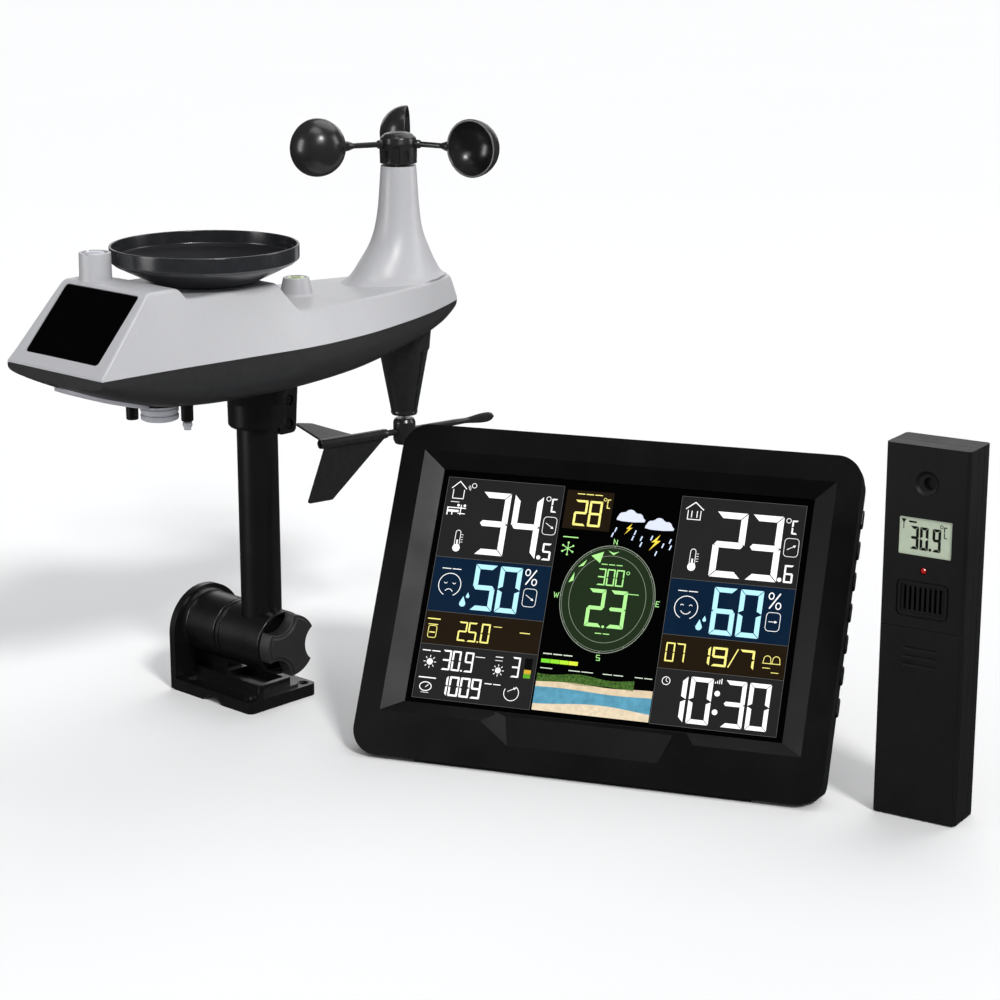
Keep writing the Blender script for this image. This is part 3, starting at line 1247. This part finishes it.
def white_symbols():
    white = each(
        number, ("34", 22.9, 7.1, 60.6, 45.6, 0.2), ("5", 64.6, 35.3, 70, 45.6, 0.2),
        ("23", 165.9, 7.1, 205.6, 46, 0.2), ("6", 209.5, 35.3, 214.8, 45.8, 0.2),
        ("30.9", 14.6, 105, 33.8, 117), ("3", 57.5, 105, 62.5, 117),
        ("1009", 17.9, 120.3, 40.9, 132.1), ("1", 160.3, 105.4, 163.1, 132.5, 0.42),
        ("0", 164.9, 105.4, 177.9, 132.5, 0.2), ("30", 185, 105.4, 211.5, 132.5, 0.2))
    white += each(
        words, (3.2, 13.9, 8.6, 15.6, 3), (5.2, 54.8, 17, 56.9, 7), (1.6, 104.9, 12.7, 107.6, 5),
        (34.8, 106.4, 40.6, 108.2, 4), (47, 105, 51.6, 107, 2), (47, 107.4, 51.6, 108.8, 3),
        (1.9, 121, 12.7, 124, 4), (4.6, 130.8, 9.4, 132, 2), (42.8, 121.2, 52.6, 123.6, 6),
        (149.7, 54.9, 161.3, 57, 7))
    white += each(line, (1.6, 18.4, 13.4, 18.4, 0.6), (2.2, 20.4, 9, 20.4, 1.4),
                  (10.2, 16.4, 10.2, 22.6, 0.5), (8.6, 21.8, 13.2, 21.8, 0.5),
                  (2, 18.4, 2, 23, 0.7), (5, 20.8, 5, 22.8, 0.7), (7, 128.2, 8.8, 126.6, 0.4),
                  (151, 8, 151, 12, 0.5), (154.2, 8, 154.2, 12, 0.5),
                  *[(179 + 1.2 * k, 108, 179 + 1.2 * k, 107 - 0.7 * k, 0.5) for k in range(4)])
    white += each(disc, ((8.4, 16.8), 0.8), ((12.4, 16.8), 0.8), ((62.9, 44.2), 1.25),
                  ((207.3, 44.3), 1.25), ((180.9, 113.7), 1.6), ((180.9, 124.5), 1.6))
    white += each(ring, ((16.4, 4), 1.4, 0.35, None, 24), ((7, 127.8), 3.6, 0.5, 2.6),
                  ((150.3, 109.4), 2.3, 0.4, None, 28))
    white += each(
        ribbon, (arc((12.2, 6), 1.3, -60, 30, 8), 0.3), (arc((12.2, 6), 2.2, -60, 30, 8), 0.3),
        (arc((59.8, 126.4), 4.5, -60, 210, 32), 0.4),
        ([(150.3, 107.8), (150.3, 109.4), (151.4, 110)], 0.3))
    white += each(trend, (62.6, 19.2, 8.2, 10.8, 1.6), (57.5, 63.6, 8.1, 10.8, 1.6),
                  (207.6, 19.5, 8.3, 10.8, -1.4), (202.9, 63.8, 8.1, 10.8, 0))
    white += each(degree_c, (62.4, 6.9, 7, 9.4), (207, 7.8, 7, 9.2))
    white += each(percent, (56.9, 52.1, 7.4, 9.2), (202.9, 52.4, 7.4, 9.2))
    white += each(thermometer, (9, 31.9, 4.6, 13.3), (152.8, 30.6, 4.8, 13.2))
    white += each(house, (2.5, 2, 9.4, 10.6), (147.2, 2.8, 10.6, 10.4))
    white += each(mood, ((11.3, 65.6), 6.9, False), ((155.7, 65.7), 6.8, True))
    white += each(sun, ((7.1, 112.9), 3.9), ((49.6, 113.9), 3.6))
    white += arrow((57.4, 125.6), (62.4, 123), 0.35, 1.6)
    lcd("white", white, (0.95, 0.95, 0.95))


def coloured_symbols():
    blue = each(number, ("50", 25.9, 51.6, 54.8, 79.5, 0.21),
                ("60", 170.9, 51.9, 199.8, 79.8, 0.21))
    blue += each(drop, ((21, 75.4), 3.6), ((23.6, 71.2), 2), ((164.6, 75.4), 3.6),
                 ((167.3, 71.4), 2))
    lcd("blue", blue, (0.42, 0.78, 0.92))
    yellow = each(
        number, ("25.0", 21.3, 87.1, 40.9, 98.8, 0.17), ("28", 80.3, 7.2, 97.1, 22.9, 0.17),
        ("07", 147.4, 86.9, 158.8, 98.1, 0.15), ("19/7", 170, 86.9, 199.4, 98.1, 0.15))
    yellow += each(
        words, (1.5, 85.5, 9.4, 88.6, 4), (3.8, 93.6, 7.2, 96.8, 1), (42.8, 87.4, 47.8, 89.2, 3),
        (59.2, 89.2, 65.4, 91.6, 3), (80.9, 2.3, 96.2, 4.7, 9), (204.6, 95.2, 209, 97, 1),
        (209.8, 97.6, 214.2, 99.4, 1))
    yellow += ribbon(rounded_rectangle((2.9, 91.2), (8, 98.4), 1.2, 4), 0.4, True)
    yellow += line(2.4, 90.4, 8.4, 90.4, 0.5) + degree_c(97.3, 4.9, 4.6, 6.2)
    for u in (206.8, 212):
        yellow += ribbon(arc((u, 91), 2, 180, 360, 14), 0.4)
        yellow += each(line, (u - 2.3, 93.2, u - 2, 91, 0.35), (u + 2, 91, u + 2.3, 93.2, 0.35),
                       (u - 2.6, 93.4, u + 2.6, 93.4, 0.4))
    lcd("yellow", yellow, (0.88, 0.8, 0.22))
    green = each(number, ("300", 100.6, 47.3, 116.5, 57.3, 0.16),
                 ("2", 96.9, 59.7, 107.3, 82.3, 0.21), ("3", 110, 59.7, 120.3, 82.3, 0.21))
    green += each(words, (101.8, 43.5, 114.6, 45.8, 8), (120.5, 60.1, 126.8, 62.2, 4),
                  (104.2, 84.7, 112.8, 87.2, 5), (76.1, 28.8, 85.4, 31.6, 4))
    green += each(letter, ("N", (108.3, 30.8), 2, 3), ("S", (108.3, 100.3), 2, 3),
                  ("W", (77.5, 65.4), 2.9, 3), ("E", (138.8, 65.4), 2, 3))
    green += ring((118.6, 48.8), 0.9, 0.35, count=24) + disc((108.3, 81.8), 0.8)
    for k in range(6):
        a = math.radians(60 * k + 30)
        tip = (80 + 3.6 * math.cos(a), 37.2 + 3.6 * math.sin(a))
        green += ribbon([(80, 37.2), tip], 0.45) + disc(tip, 0.6, 12)
    green += [[(95, 40.2), (102.2, 37.2), (100.8, 44.2)],
              [(104.8, 36.4), (108.1, 37.4), (111.4, 36.4), (108.1, 38.8)],
              [(88, 47.6), (92.8, 42.8), (91.2, 46.6)], [(83.6, 57.4), (86.4, 51), (86.4, 56)]]
    lcd("green", green, (0.38, 0.8, 0.26), 2)


def dial():
    lcd("dial_face", [ellipse(LCD_DIAL, 27.4, 31, 72)], (0.0115, 0.023, 0.0085), 0)
    lines = each(ring, (LCD_DIAL, 28.4, 0.45, 32.1, 96), (LCD_DIAL, 27.4, 0.25, 31, 96),
                 (LCD_DIAL, 23, 0.28, 26, 96))
    for ends in zip(ellipse(LCD_DIAL, 27.4, 31, 12), ellipse(LCD_DIAL, 28.4, 32.1, 12)):
        lines += ribbon(ends, 0.4)
    lcd("dial_lines", lines, (0.22, 0.26, 0.2))


def weather():
    """Clouds with lightning and rain, and the bars of the wind and sunlight scales."""
    lcd("clouds", each(cloud, ((115.4, 14.8), 17.4, 6.4), ((133.2, 18.4), 17.6, 6.4)),
        (0.62, 0.66, 0.78))
    lcd("bolts", each(bolt, ((115, 18.8), 5.6), ((132, 24), 8.2)), (0.9, 0.66, 0.06), 2)
    drops = ((107.1, 23.4), (105.6, 26.6), (119, 24.2), (118, 27.6), (123.2, 27.4), (123.4, 31),
             (129.3, 26.6), (136.6, 30.6), (140.6, 27.6), (133.1, 35.6), (141.2, 31.4))
    rain = each(line, *[(u + 0.5, v - 1.5, u - 0.4, v + 1.3, 0.75) for u, v in drops])
    lcd("rain", rain, (0.58, 0.7, 0.9), 2)
    for k, colour in enumerate(((0.16, 0.62, 0.03), (0.26, 0.66, 0.03), (0.42, 0.72, 0.03),
                                (0.62, 0.74, 0.04))):
        lcd(f"wind_bar_{k + 1}", strip(74.7 + 5.6 * k, 104, 80.1 + 5.6 * k, 106.3), colour, 2)
    captions = each(
        words, (75.2, 99.5, 93, 102.3, 10), (74.8, 108.4, 82.2, 110.6, 4),
        (92, 108.4, 106.8, 110.6, 7), (112.6, 108.4, 124.8, 110.6, 6),
        (131.8, 108.4, 142.2, 110.6, 5))
    lcd("captions", captions, (0.62, 0.72, 0.58), 3)
    lcd("uv_bar_high", strip(65.4, 111.8, 69.6, 114.2), (0.55, 0.36, 0.03))
    lcd("uv_bar_low", strip(65.4, 114.3, 69.6, 116.8), (0.1, 0.34, 0.02))
    lcd("uv_bar_back", strip(65.2, 105, 69.8, 111.7), (0.001, 0.001, 0.001))


def picture():
    """A plain banded picture along the foot of the display: leaves, sand and water."""
    left, right = 73.6, 143.5
    lcd("leaf_band", band(left, 132, (112.2, 0.9, 1.5, 0.1), (117.2, 0.5, 2, 0.3)),
        (0.045, 0.105, 0.018), grain=900, vary=0.75)
    lcd("far_sand", band(left, right, (117, 0.5, 1.5, 0.3), (121.2, 0.5, 1, 0.55)),
        (0.62, 0.5, 0.34), grain=300, vary=0.12)
    lcd("water", band(left, right, (120.8, 0.5, 1, 0.55), (129.6, 1.4, 0.8, 0.3)),
        (0.085, 0.27, 0.38), 2, grain=220, vary=0.22)
    lcd("near_sand", band(left, right, (129.4, 1.4, 0.8, 0.3), (134.6, 0, 1, 0)),
        (0.66, 0.55, 0.39), 3, grain=400, vary=0.12)


# ---------------------------------------------------------------- remote thermometer

def remote_edge(front):
    corner, half = 2.2, REMOTE_HALF
    if front:
        return (arc((-half + corner, corner), corner, 180, 270, 10)
                + arc((half - corner, corner), corner, 270, 360, 10))
    return (arc((half - corner, REMOTE_DEEP - corner), corner, 0, 90, 10)
            + arc((-half + corner, REMOTE_DEEP - corner), corner, 90, 180, 10))


def remote():
    half, wall = REMOTE_HALF, 1.8
    outline = remote_edge(True) + [(half, REMOTE_SPLIT_Y), (-half, REMOTE_SPLIT_Y)]
    front = prism(outline, 0.3, REMOTE_TALL, REMOTE)
    inside = block((-half + wall, wall, 0.3 + wall),
                   (half - wall, REMOTE_SPLIT_Y + 1, REMOTE_TALL - wall), REMOTE)
    cut(front, inside)
    fuse(front, rod("Y", 9.5, 0.4, 5.5, REMOTE, at=(0, REMOTE_HOLE_Z)))
    dish = turned([
        (0, 1.4), (5.2, 1.4, 1.4), (7, -0.1), (7.4, -0.6), (0, -0.6)],
        REMOTE @ shift(0, 0, REMOTE_HOLE_Z) @ turn("X", -90), 80)
    cut(front, block((-half - 1, -1, -1), (half + 1, 2.5, REMOTE_DOOR_TOP + GAP), REMOTE), dish,
        rod("Y", 3.5, -1, 3.9, REMOTE, at=(1, REMOTE_HOLE_Z)),
        slab((-15.3, 149), (15.3, 170.2), 0.8, -1, 4, REMOTE, "Y", 4),
        rod("Y", 2, -1, 4, REMOTE, at=(0, 141.5)),
        slab((-15, 115), (15, 135.6), 3.4, -1, 0.8, REMOTE, "Y"))
    rim = slab((-14.1, 115.9), (14.1, 134.7), 2.8, 0.05, 1.5, REMOTE, "Y")
    cut(rim, slab((-12.6, 117.4), (12.6, 133.2), 1.6, -1, 0.8, REMOTE, "Y"))
    fuse(front, rim)
    for i in range(8):
        x = (i - 3.5) * 2.9
        cut(front, slab((x - 0.72, 118.6), (x + 0.72, 132), 0.6, -1, 4, REMOTE, "Y", 4))
    piece("remote_front", front, "remote", REMOTE_CASE, ["remote_front_shell"], edge=0.35)
    outline = remote_edge(False) + [(-half, REMOTE_SPLIT_Y + GAP), (half, REMOTE_SPLIT_Y + GAP)]
    rear = prism(outline, 0, REMOTE_TALL, REMOTE)
    cut(rear, block((-half + wall, REMOTE_SPLIT_Y - 1, wall),
                    (half - wall, REMOTE_DEEP - wall, REMOTE_TALL - wall), REMOTE))
    groove = [block((side * half - 0.35, 18.4, 1), (side * half + 0.35, 18.8, REMOTE_TALL + 1),
                    REMOTE) for side in (-1, 1)]
    cut(rear, *groove)
    piece("remote_rear", rear, "remote", REMOTE_CASE, ["remote_rear_shell"], edge=0.4)
    door = prism(remote_edge(True), 0.6, REMOTE_DOOR_TOP, REMOTE)
    for z in (87.6, 92.2, 96.8):
        cut(door, slab((-9.4, z), (9.4, z + 1.3), 0.6, -1, 0.55, REMOTE, "Y", 4))
    piece("remote_door_panel", door, "remote_door", REMOTE_CASE, ["remote_battery_door"], edge=0.3)
    screen = slab((-15, 149.3), (15, 169.9), 0.5, 0.8, 2.6, REMOTE, "Y", 4)
    piece("remote_screen", screen, "remote", REMOTE_GLASS, ["remote_lcd"], edge=0.1)
    dark = number("30.9", 6.4, 4.6, 23.9, 17.3, 0.32) + degree_c(23.2, 2.2, 4.4, 7)
    dark += [[(1, 1.2), (4, 1.2), (2.7, 3.2), (2.3, 3.2)]]
    dark += ribbon([(2.5, 3), (2.5, 6.6)], 0.5) + ribbon([(5.4, 2.4), (9.8, 2.4)], 1)
    lit("remote_figures", dark, INK, 0, REMOTE, (-15, 169.9), 0.8, "remote")
    lamp = turned([(0, 2.6), (1, 2.45), (1.7, 1.7, 0.5), (1.7, -1), (0, -1)],
                  REMOTE @ shift(0, 2, 141.5) @ turn("X", 90), 40)
    piece("remote_lamp", lamp, "remote", LED, ["remote_led"])
    kept(CELL, "remote_battery_1", "remote_battery_2")


# ---------------------------------------------------------------- studio

def softbox(name, where, target, size, power):
    """A rectangular light that shows in glossy surfaces only."""
    data = bpy.data.lights.new(name, "AREA")
    data.shape = "RECTANGLE"
    data.size, data.size_y = size
    data.energy = power
    obj = bpy.data.objects.new(name, data)
    bpy.context.scene.collection.objects.link(obj)
    obj.location = where
    obj.rotation_euler = (Vector(target) - Vector(where)).to_track_quat("-Z", "Y").to_euler()
    obj.visible_diffuse = False
    obj.visible_camera = False


def studio():
    scene = bpy.context.scene
    bm = bmesh.new()
    bmesh.ops.create_grid(bm, x_segments=2, y_segments=2, size=20000)
    floor = raw(bm, Matrix.Identity(4))
    floor.name = "floor"
    floor.location.z = -0.00005
    material, tree, shader = nodes_of("floor_white")
    tone = blend_colour(tree, noise(tree, 2), (0.945, 0.945, 0.945), (0.95, 0.95, 0.95))
    tree.links.new(tone, shader.inputs["Base Color"])
    shader.inputs["Roughness"].default_value = 0.85
    shader.inputs["Specular IOR Level"].default_value = 0.1
    floor.data.materials.append(material)
    floor.visible_glossy = False

    world = bpy.data.worlds.new("studio")
    scene.world = world
    world.use_nodes = True
    tree = world.node_tree
    light = tree.nodes["Background"]
    light.inputs["Color"].default_value = (0.97, 0.98, 1, 1)
    path = tree.nodes.new("ShaderNodeLightPath")
    level = None
    for ray, strength in (("Is Camera Ray", 1), ("Is Glossy Ray", 0.06)):
        choice = tree.nodes.new("ShaderNodeMapRange")
        choice.inputs["To Min"].default_value = 0.48
        choice.inputs["To Max"].default_value = strength
        if level:
            tree.links.new(level.outputs["Result"], choice.inputs["To Min"])
        tree.links.new(path.outputs[ray], choice.inputs["Value"])
        level = choice
    tree.links.new(level.outputs["Result"], light.inputs["Strength"])

    for name, direction, power, angle in (("back_sun", (-0.3, -0.52, -0.8), 0.95, 50),
                                          ("front_sun", (-0.42, 0.8, -0.8), 1.7, 10)):
        data = bpy.data.lights.new(name, "SUN")
        data.energy = power
        data.angle = math.radians(angle)
        sun_lamp = bpy.data.objects.new(name, data)
        scene.collection.objects.link(sun_lamp)
        sun_lamp.rotation_euler = Vector(direction).to_track_quat("-Z", "Y").to_euler()
    softbox("front_box", (0.66, -1.58, 1.41), (0.19, -0.15, 0.1), (0.9, 0.6), 5.5)
    softbox("left_box", (-1.5, -0.7, 0.6), (0, 0, 0.2), (0.5, 1.2), 14)
    softbox("right_box", (2, 0.2, 0.8), (0, 0, 0.25), (0.6, 1.4), 10)
    softbox("top_box", (0.05, -0.3, 1.75), (0.19, -0.12, 0.05), (0.8, 0.6), 5)
    softbox("back_box", (0, 2.3, 0.85), (0, 0, 0.25), (3, 0.8), 9)

    camera = bpy.data.objects.new("camera", bpy.data.cameras.new("camera"))
    scene.collection.objects.link(camera)
    camera.location = (0.14767, -1.48163, 0.51511)
    camera.rotation_euler = Euler((math.radians(90 - 14.65), 0, 0))
    camera.data.lens = 90
    camera.data.sensor_width = 36
    scene.camera = camera
    scene.view_settings.view_transform = "Standard"


bracket()
pole()
hull()
upper_shell()
rain_gauge()
rotor()
wind_vane()
console_case()
stand()
display()
remote()
studio()
